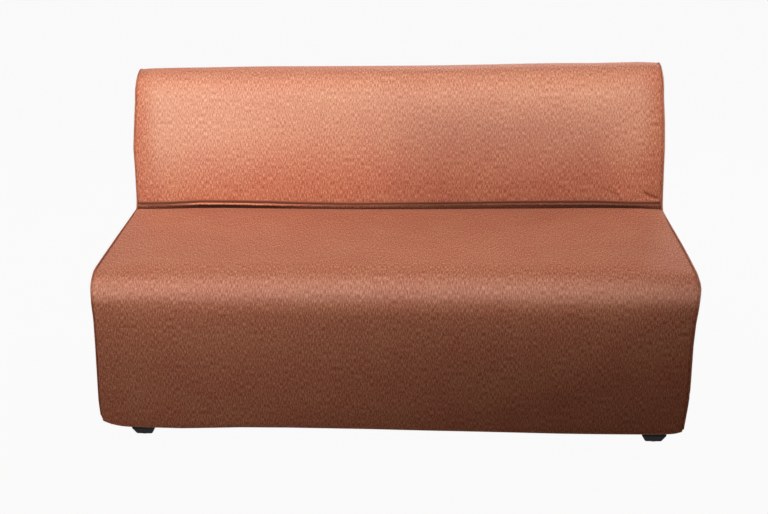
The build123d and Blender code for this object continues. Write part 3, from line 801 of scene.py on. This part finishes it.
for polygon in dust_cover.data.polygons:
    if polygon.normal.z > 0:
        polygon.flip()
apply(dust_cover, "SOLIDIFY", thickness=dust_thickness, offset=-1)
spread_ends(dust_cover)
print("dust cover:", len(dust_cover.data.polygons), "faces,", len(holes), "holes")

# %% [markdown]
# ## A way to write shaders
# A material is a small sum over the surface. This class wraps a node's socket, so that sums and products
# are written as in arithmetic, and one method adds any other node.

# %% Wire: a socket that can be calculated with
class Wire:
    """An output socket in a material. Sums and products of it add Math nodes."""

    def __init__(self, tree, socket=None):
        self.tree, self.socket = tree, socket

    def node(self, kind, settings=None, inputs=None, output=0):
        """Adds a node, sets its settings, then its inputs, and returns one of its outputs."""
        made = self.tree.nodes.new(kind)
        for key, value in (settings or {}).items():
            if key == "stops":
                for _ in value[2:]:
                    made.color_ramp.elements.new(0.5)
                for element, (place, colour) in zip(made.color_ramp.elements, value):
                    element.position, element.color = place, (*colour, 1)
            else:
                setattr(made, key, value)
        for key, value in (inputs or {}).items():
            if isinstance(value, Wire):
                self.tree.links.new(value.socket, made.inputs[key])
            else:
                made.inputs[key].default_value = value
        return Wire(self.tree, made.outputs[output])

    def maths(self, operation, first, second):
        return self.node("ShaderNodeMath", {"operation": operation}, {0: first, 1: second})

    def __add__(self, other):
        return self.maths("ADD", self, other)

    def __radd__(self, other):
        return self.maths("ADD", other, self)

    def __sub__(self, other):
        return self.maths("SUBTRACT", self, other)

    def __rsub__(self, other):
        return self.maths("SUBTRACT", other, self)

    def __mul__(self, other):
        return self.maths("MULTIPLY", self, other)

    def __rmul__(self, other):
        return self.maths("MULTIPLY", other, self)

# %% Helpers for every material
def new_material(name):
    """A material with its shader, and a Wire to build on."""
    material = bpy.data.materials.new(name)
    material.use_nodes = True
    shader = material.node_tree.nodes["Principled BSDF"]
    return material, shader, Wire(material.node_tree)


def plug(shader, **inputs):
    """Links or sets sockets of a shader, named with _ for a space."""
    for key, value in inputs.items():
        socket = shader.inputs[key.replace("_", " ")]
        if isinstance(value, Wire):
            value.tree.links.new(value.socket, socket)
        else:
            socket.default_value = value


def stretched(wire, places, sizes, shift=0.0):
    """Places divided by the size of a pattern each way."""
    scale = tuple(1 / size for size in sizes)
    return wire.node("ShaderNodeVectorMath", {"operation": "MULTIPLY_ADD"},
                     {0: places, 1: scale, 2: (shift, shift, shift)})


def cloud(wire, places, sizes, shift, detail, rough):
    """Noise with features of these sizes, from about 0 to 1."""
    return wire.node("ShaderNodeTexNoise", {"noise_dimensions": "3D"},
                     {"Vector": stretched(wire, places, sizes, shift), "Scale": 1.0, "Detail": detail,
                      "Roughness": rough})


def mix(wire, share, first, second, blend="MIX"):
    """A colour between two colours. A Mix node has its colours at inputs 6 and 7 and output 2."""
    colours = [c if isinstance(c, Wire) else (*c, 1) for c in (first, second)]
    return wire.node("ShaderNodeMix", {"data_type": "RGBA", "blend_type": blend},
                     {0: share, 6: colours[0], 7: colours[1]}, 2)


def dress(objects, material):
    """Gives objects one material."""
    for piece in objects:
        piece.data.materials.clear()
        piece.data.materials.append(material)

# %% [markdown]
# ## Cover cloth
# The cloth is a melange weave: rust, salmon and pale peach yarns in short dashes, some along the warp and
# some along the weft, over slow pinker and browner patches. The pattern reads the flat cloth's own map in
# metres. Light is painted into its colour: the upper back, most at the left, and the rounded front edge are
# painted paler, with a painted highlight along the front edge, and less of it near the end seams and on top
# of the roll. Painted shade darkens a part right of the back's middle, the cloth going into the crease, and
# folds at the right end of the back, where there is also a painted highlight. The yarn is matt, with only a
# trace of gloss and sheen.

# %% Cover cloth material
pale_yarn, salmon_yarn, rust_yarn = (0.74, 0.325, 0.195), (0.53, 0.182, 0.098), (0.33, 0.096, 0.046)
# Paler and darker colours of painted light, for the upper back and the front edge.
painted_lit_pale, painted_lit_dark = (1.0, 0.71, 0.53), (0.66, 0.37, 0.245)
# A painted highlight for the front edge, and painted shade for the cloth going into the crease.
painted_edge_highlight, painted_crease_shade = (1.22, 1.15, 1.20), (0.21, 0.068, 0.038)
pinker, browner, sheen = (1.03, 0.97, 1.02), (0.97, 1.03, 0.95), (1.0, 0.82, 0.74, 1)
yarn_stops = [(0.12, rust_yarn), (0.5, salmon_yarn), (0.9, pale_yarn)]
warp_size, weft_size, patch_size = (0.0020, 0.0100, 0.0020), (0.0068, 0.0019, 0.0019), (0.09, 0.11, 0.09)
thread_turn = 0.0013 / (2 * pi)


def ramp(wire, value, low, high):
    """0 below low, 1 above high, and a smooth step between."""
    return wire.node("ShaderNodeMapRange", {"interpolation_type": "SMOOTHSTEP"},
                     {"Value": value, "From Min": low, "From Max": high})


def parted(wire, vector):
    """The three parts of a vector."""
    split = wire.node("ShaderNodeSeparateXYZ", inputs={0: vector}).socket.node
    return [Wire(wire.tree, split.outputs[i]) for i in range(3)]


def painted_light_masks(wire):
    """Masks of painted light: the upper back, less near the end seams and on the roll, and the front edge."""
    across, depth, height = parted(wire, wire.node("ShaderNodeTexCoord", output="Object"))
    leftness = 1 - ramp(wire, across, -0.60, -0.20)
    upper_back = ramp(wire, height + 0.05 * leftness, 0.46, 0.70) * ramp(wire, depth, 0.10, 0.18)
    upper_back = upper_back * (1 + 0.2 * leftness) * (1 - 0.9 * ramp(wire, depth, 0.235, 0.28))
    upper_back = upper_back * (1 - 0.55 * ramp(wire, height, 0.715, 0.765))
    near_seam = ramp(wire, wire.maths("ABSOLUTE", across, 0.0), 0.625, 0.685)
    front_edge = ramp(wire, height, 0.350, 0.388) * (1 - ramp(wire, depth, -0.350, -0.308))
    return upper_back * (1 - near_seam), front_edge


def melange(name, pattern="UV", darker=1.0, gloss=0.08, crease_shade_span=None, shade=None):
    """The cover cloth, patterned on the flat cloth (UV) or in space (Object), with painted light on the upper
    back and the front edge. Painted shade darkens it between two places along the cloth, going into the
    crease, and by a shade if one is given."""
    material, shader, wire = new_material(name)
    places = wire.node("ShaderNodeTexCoord", output=pattern)
    warp = cloud(wire, places, warp_size, 0.0, 2.0, 0.6)
    weft = cloud(wire, places, weft_size, 9.0, 2.0, 0.6)
    patch = cloud(wire, places, patch_size, 4.0, 3.0, 0.6)
    yarn = 0.5 + (warp - 0.5) * 2.4 + (weft - 0.5) * 0.8 + (patch - 0.5) * 0.25
    colour = wire.node("ShaderNodeValToRGB", {"stops": yarn_stops}, {"Fac": yarn})
    tint = mix(wire, (patch - 0.35) * 1.6, pinker, browner)
    colour = mix(wire, 1.0, colour, tint, "MULTIPLY")
    # Painted light: the upper back and the front edge are painted paler, the front edge also with a painted
    # highlight.
    upper_back, front_edge = painted_light_masks(wire)
    painted_lit_colour = mix(wire, yarn, painted_lit_dark, painted_lit_pale)
    colour = mix(wire, wire.maths("MAXIMUM", upper_back * 0.27, front_edge * 0.23), colour, painted_lit_colour)
    colour = mix(wire, front_edge, colour, mix(wire, 1.0, colour, painted_edge_highlight, "MULTIPLY"))
    if darker < 1:
        colour = mix(wire, 1.0, colour, (darker, darker, darker), "MULTIPLY")
    # Painted shade where the cloth goes down into the crease.
    if crease_shade_span:
        colour = mix(wire, ramp(wire, parted(wire, places)[1], *crease_shade_span), colour, painted_crease_shade)
    if shade:
        colour = mix(wire, 1.0, colour, shade(wire), "MULTIPLY")
    threads = stretched(wire, places, (thread_turn, thread_turn, thread_turn))
    across, down = (wire.maths("SINE", part, 0.0) for part in parted(wire, threads)[:2])
    height = across * down * 0.5 + (warp + weft) * 0.8
    bump = wire.node("ShaderNodeBump", None, {"Strength": 0.22, "Distance": 0.0008, "Height": height})
    plug(shader, Base_Color=colour, Roughness=0.60 + (warp - 0.5) * 0.2, Normal=bump)
    plug(shader, Sheen_Weight=0.06, Sheen_Roughness=0.4, Sheen_Tint=sheen, Specular_IOR_Level=gloss)
    return material


# Painted light on the band's ridge and painted shade in the gap under it, at the places along the crease.
painted_ridge_light = [0.55, 0.50, 1.25, 1.30, 1.20, 0.60, 0.50, 0.28, 0.40, 0.42, 0.40, 0.50]
painted_gap_shade = [0.50, 0.34, 0.12, 0.12, 0.16, 0.40, 0.45, 0.36, 0.30, 0.20, 0.23, 0.60]
# A colour ramp holds values from 0 to 1, so paleness and height are scaled to fit it.
palest, rise_scale, level = 1.3, 0.01, 0.1


def ridge_shade(wire):
    """Painted light on the band's ridge where it stands up, and painted shade in the gap under it."""
    across, _, height = parted(wire, wire.node("ShaderNodeTexCoord", output="Object"))
    stops = [((x + half_width) / (2 * half_width), (pale / palest, dark, level - rise / rise_scale))
             for x, rise, pale, dark in zip(*ridge_rise, painted_ridge_light, painted_gap_shade)]
    share = (across + half_width) * (0.5 / half_width)
    pale, dark, low = parted(wire, wire.node("ShaderNodeValToRGB", {"stops": stops}, {"Fac": share}))
    ridge = ramp(wire, height + (low - level) * rise_scale, roll_top - 0.0050, roll_top - 0.0025)
    tone = dark + (pale * palest - dark) * ridge
    return wire.node("ShaderNodeCombineXYZ", None, {0: tone, 1: tone, 2: tone})


# Painted shade along two folds near the right end of the back, and a painted highlight on the ridge below the
# first.
fold_shade_lines = [
    ((right - 0.050, foot_s + 0.024), (right - 0.006, foot_s + 0.007), 0.0065, (0.46, 0.37, 0.30)),
    ((right - 0.046, foot_s + 0.010), (right - 0.004, foot_s + 0.001), 0.0045, (1.25, 1.25, 1.20)),
    ((right - 0.158, foot_s + 0.033), (right - 0.104, foot_s + 0.015), 0.0050, (0.74, 0.70, 0.66)),
]
full_tone, painted_shade_tone = (1.0, 1.0, 1.0), (0.82, 0.80, 0.82)


def fold_line(wire, start, end, width):
    """1 along a fold of the flat cloth, and 0 away from it and past its ends."""
    x, s, _ = parted(wire, wire.node("ShaderNodeTexCoord", output="UV"))
    run_x, run_s = end[0] - start[0], end[1] - start[1]
    size = float(np.hypot(run_x, run_s))
    share = ((x - start[0]) * run_x + (s - start[1]) * run_s) * (1 / size ** 2)
    off = ((x - start[0]) * run_s - (s - start[1]) * run_x) * (1 / size)
    near = 1 - ramp(wire, wire.maths("ABSOLUTE", off, 0.0), 0.0, width)
    return near * ramp(wire, share, 0.0, 0.35) * (1 - ramp(wire, share, 0.85, 1.1))


def back_shade(wire):
    """Painted shade right of the middle, below the roll, and on two folds; a painted highlight on a third."""
    across, _, height = parted(wire, wire.node("ShaderNodeTexCoord", output="Object"))
    # Painted shade on the back, right of the middle and below the roll.
    shade_patch = ramp(wire, across, -0.14, 0.14) * (1 - ramp(wire, across, 0.48, 0.64))
    shade_patch = shade_patch * (1 - ramp(wire, height, 0.62, 0.74))
    shade = mix(wire, shade_patch, full_tone, painted_shade_tone)
    for start, end, width, tone in fold_shade_lines:
        shade = mix(wire, fold_line(wire, start, end, width), shade, tone, "MULTIPLY")
    return shade


cover_cloth = melange("cover cloth")
seat_cloth = melange("seat cloth", crease_shade_span=(crease_bend[0] - 0.003, crease_bend[0] + 0.006))
back_cloth = melange("back cloth", crease_shade_span=(back_knee[1], back_knee[0]), shade=back_shade)
crease_cloth = melange("crease cloth", shade=ridge_shade)
end_cloth = melange("end cloth", gloss=0.5)
welt_cloth = melange("welt cloth", "Object", darker=0.82)
covers = [seat_cover, back_cover, outside_back, left_end, right_end, crease_band]
dress([outside_back], cover_cloth)
dress([seat_cover], seat_cloth)
dress([back_cover], back_cloth)
dress([crease_band], crease_cloth)
dress([left_end, right_end], end_cloth)
dress([left_welt, right_welt], welt_cloth)
for piece in covers:
    for polygon in piece.data.polygons:
        polygon.use_smooth = True
print("cloth on", len(covers) + 2, "pieces")

# %% [markdown]
# ## Timber, board, foam and webbing
# These are hidden inside the finished unit, but the part is opened up in other uses, so each has its own
# finish: pine with a long grain, ply with a fine figure, brown hardboard, pale foam with small cells, white
# wadding, grey felt and dark elastic webbing. They read Object coordinates.

# %% Grain, cells and fibres
def patterned(name, stops, sizes, roughness, bump, depth=0.0005, metallic=0.0, second=None):
    """A finish in a few colours over a stretched cloud, with bump and uneven gloss from the same cloud."""
    material, shader, wire = new_material(name)
    places = wire.node("ShaderNodeTexCoord", output="Object")
    figure = cloud(wire, places, sizes, 0.0, 4.0, 0.6)
    if second:
        figure = figure * 0.6 + cloud(wire, places, second, 5.0, 2.0, 0.5) * 0.4
    colour = wire.node("ShaderNodeValToRGB", {"stops": stops}, {"Fac": figure})
    plug(shader, Base_Color=colour, Roughness=roughness + (figure - 0.5) * 0.3, Metallic=metallic)
    relief = wire.node("ShaderNodeBump", None, {"Strength": bump, "Distance": depth, "Height": figure})
    plug(shader, Normal=relief)
    return material


finishes = {
    "pine": patterned("pine", [(0.3, (0.52, 0.33, 0.16)), (0.5, (0.68, 0.47, 0.26)),
                               (0.7, (0.74, 0.55, 0.33))],
                      (0.16, 0.012, 0.006), 0.7, 0.15),
    "plywood": patterned("plywood", [(0.3, (0.50, 0.34, 0.19)), (0.7, (0.70, 0.53, 0.33))],
                         (0.009, 0.05, 0.20), 0.65, 0.1),
    "hardboard": patterned("hardboard", [(0.3, (0.14, 0.075, 0.035)), (0.7, (0.24, 0.135, 0.07))],
                           (0.003, 0.003, 0.003), 0.6, 0.15),
    "foam": patterned("foam", [(0.3, (0.70, 0.62, 0.42)), (0.7, (0.86, 0.80, 0.60))],
                      (0.002, 0.002, 0.002), 0.95, 0.5),
    "pad_foam": patterned("pad foam", [(0.3, (0.62, 0.64, 0.66)), (0.7, (0.80, 0.82, 0.83))],
                          (0.002, 0.002, 0.002), 0.95, 0.5),
    "wadding": patterned("wadding", [(0.3, (0.74, 0.74, 0.72)), (0.7, (0.90, 0.90, 0.88))],
                         (0.02, 0.004, 0.004), 0.95, 0.4),
    "felt": patterned("felt", [(0.35, (0.16, 0.16, 0.17)), (0.5, (0.30, 0.30, 0.31)),
                               (0.65, (0.50, 0.48, 0.46))],
                      (0.006, 0.002, 0.003), 0.95, 0.4),
    "webbing": patterned("webbing", [(0.35, (0.09, 0.085, 0.08)), (0.65, (0.26, 0.23, 0.19))],
                         (0.0016, 0.0016, 0.0016), 0.85, 0.4),
    "dust_cloth": patterned("dust cloth", [(0.3, (0.012, 0.012, 0.013)), (0.7, (0.04, 0.04, 0.042))],
                            (0.004, 0.002, 0.004), 0.9, 0.3),
}
print("finishes:", sorted(finishes))

# %% [markdown]
# ## Metal and plastic
# The feet are black moulded plastic with a fine grain and paler scuffs. The plates, studs and bolts are
# bright zinc with faint spangles, and the screws are darker. The glides are dark nylon and the washers
# pale nylon.

# %% Metal and plastic materials
finishes |= {
    "zinc_steel": patterned("zinc steel", [(0.3, (0.42, 0.43, 0.45)), (0.7, (0.62, 0.63, 0.64))],
                            (0.004, 0.004, 0.004), 0.38, 0.05, metallic=1.0, second=(0.03, 0.03, 0.03)),
    "screw_steel": patterned("screw steel", [(0.3, (0.30, 0.27, 0.20)), (0.7, (0.52, 0.47, 0.34))],
                             (0.003, 0.003, 0.003), 0.42, 0.05, metallic=1.0),
    "foot_plastic": patterned("foot plastic", [(0.3, (0.008, 0.008, 0.009)), (0.62, (0.016, 0.016, 0.017)),
                                               (0.75, (0.035, 0.034, 0.033))],
                              (0.0012, 0.0012, 0.0012), 0.6, 0.25, 0.0003, second=(0.015, 0.015, 0.006)),
    "glide_nylon": patterned("glide nylon", [(0.3, (0.10, 0.10, 0.105)), (0.7, (0.17, 0.17, 0.175))],
                             (0.002, 0.002, 0.002), 0.5, 0.1),
    "washer_nylon": patterned("washer nylon", [(0.3, (0.62, 0.61, 0.57)), (0.7, (0.74, 0.73, 0.69))],
                              (0.002, 0.002, 0.002), 0.5, 0.1),
}
plug(finishes["foot_plastic"].node_tree.nodes["Principled BSDF"], Specular_IOR_Level=0.15)
finishes["cover_cloth"] = cover_cloth
finishes["welt_cloth"] = welt_cloth
for subpart in frame["record"]["subparts"]:
    dress([nodes[subpart["node"]]], finishes[subpart["material_slot"]])
dress([dust_cover], finishes["dust_cloth"])
dress([left_pad, right_pad], finishes["pad_foam"])
dress([seat_filling, back_filling], finishes["wadding"])
dress([front_filling], finishes["foam"])

# %% [markdown]
# ## Which piece stands for which node
# Every piece made here rides on the base and stands for its CAD solid, which is hidden.

# %% Ride and replace
stands_for = {
    seat_cover: ("seat_cover", "cover_cloth"), back_cover: ("back_cover", "cover_cloth"),
    outside_back: ("outside_back_cover", "cover_cloth"), left_end: ("left_side_cover", "cover_cloth"),
    right_end: ("right_side_cover", "cover_cloth"), crease_band: ("crease_band", "cover_cloth"),
    left_welt: ("left_welt", "welt_cloth"), right_welt: ("right_welt", "welt_cloth"),
    left_pad: ("left_side_pad", "pad_foam"), right_pad: ("right_side_pad", "pad_foam"),
    seat_filling: ("seat_wadding", "wadding"), back_filling: ("back_wadding", "wadding"),
    front_filling: ("front_foam", "foam"),
    dust_cover: ("dust_cover", "dust_cloth"),
}
for piece, (node, slot) in stands_for.items():
    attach(piece, "base")
    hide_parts(node)


def area_inside(outline):
    """How much cloth a closed outline takes, in square metres."""
    return abs(sum(a[0] * b[1] - b[0] * a[1] for a, b in zip(outline, np.roll(outline, -1, axis=0)))) / 2


end_area, dust_area = area_inside(end_outline), area_inside(dust_outline)
print("end cover and dust cover cut m2:", round(end_area, 3), round(dust_area, 3))

# %% [markdown]
# ## Floor and light
# The photograph has a white ground. The floor shows white to the camera and keeps a trace of the unit's
# shadow, but sends little light back up, because the front of the unit is dark towards the hem. A wide
# panel with a grid at the front lights the back, with two small ones for its ends. One above lights the
# seat, with a faint one over its rear, and a small one on the left lights that part of the front. Three
# more behind the unit light the sides that the photograph doesn't show, and a faint even light fills the
# rest.

# %% Floor
def shown_to_camera(wire):
    """1 where the camera sees a thing, also in a gloss or through glass, and 0 where it only sends light."""
    rays = ("Is Camera Ray", "Is Glossy Ray", "Is Transmission Ray")
    seen, glossy, clear = (wire.node("ShaderNodeLightPath", output=ray) for ray in rays)
    return wire.maths("MAXIMUM", wire.maths("MAXIMUM", seen, glossy), clear)


bpy.ops.object.select_all(action="DESELECT")
bpy.ops.mesh.primitive_plane_add(size=40, location=(0, 0, 0))
floor = bpy.context.object
floor.name = "floor"
floor_material, _, wire = new_material("white ground")
white = wire.node("ShaderNodeEmission", None, {"Color": (1, 1, 1, 1), "Strength": 1.0})
grey = wire.node("ShaderNodeBsdfDiffuse", None, {"Color": (0.26, 0.21, 0.17, 1)})
both = wire.node("ShaderNodeMixShader", None, {0: shown_to_camera(wire) * 0.95, 1: grey, 2: white})
wire.tree.links.new(both.socket, wire.tree.nodes["Material Output"].inputs["Surface"])
dress([floor], floor_material)
print("floor ready")

# %% Lamps and world
def aimed(place, target):
    """A turn that points a lamp from a place to a target."""
    return (Vector(target) - Vector(place)).to_track_quat("-Z", "Y").to_euler()


def panel(name, place, target, power, size, spread=180):
    """A soft lamp panel, with a grid that narrows its beam to a spread in degrees."""
    data = bpy.data.lights.new(name, "AREA")
    data.energy, data.shape, data.size, data.size_y = power, "RECTANGLE", size[0], size[1]
    data.spread = radians(spread)
    lamp = bpy.data.objects.new(name, data)
    lamp.location, lamp.rotation_euler = place, aimed(place, target)
    bpy.context.collection.objects.link(lamp)
    return lamp


lamps = [
    panel("key panel", (-0.55, -2.5, 1.30), (-0.35, 0.25, 0.83), 5.6, (2.4, 0.30), 36),
    panel("left key panel", (-1.3, -2.3, 1.5), (-0.62, 0.25, 0.66), 0.45, (0.5, 0.2), 26),
    panel("right key panel", (1.3, -2.3, 1.7), (0.62, 0.25, 0.74), 0.2, (0.3, 0.12), 18),
    panel("front left panel", (-1.5, -1.9, 1.0), (-0.40, -0.36, 0.20), 0.85, (0.6, 0.4), 50),
    panel("top panel", (-0.15, -0.4, 2.4), (0, -0.1, 0.42), 20.5, (2.0, 0.8)),
    panel("seat panel", (-0.35, -0.10, 2.05), (-0.15, 0.06, 0.43), 0.065, (0.6, 0.2), 40),
    panel("rear panel", (0.4, 2.6, 1.7), (0, 0.36, 0.45), 32, (1.8, 0.8)),
    panel("left rear panel", (-2.6, 1.0, 1.3), (-0.7, 0, 0.4), 20, (0.8, 0.8)),
    panel("right rear panel", (2.6, 1.2, 1.3), (0.7, 0, 0.4), 24, (0.8, 0.8)),
]
world = bpy.data.worlds.new("studio")
bpy.context.scene.world = world
world.use_nodes = True
wire = Wire(world.node_tree)
background = world.node_tree.nodes["Background"]
plug(background, Color=(1, 1, 1, 1), Strength=0.01 + shown_to_camera(wire) * 0.99)
print("lamps:", [lamp.name for lamp in lamps])
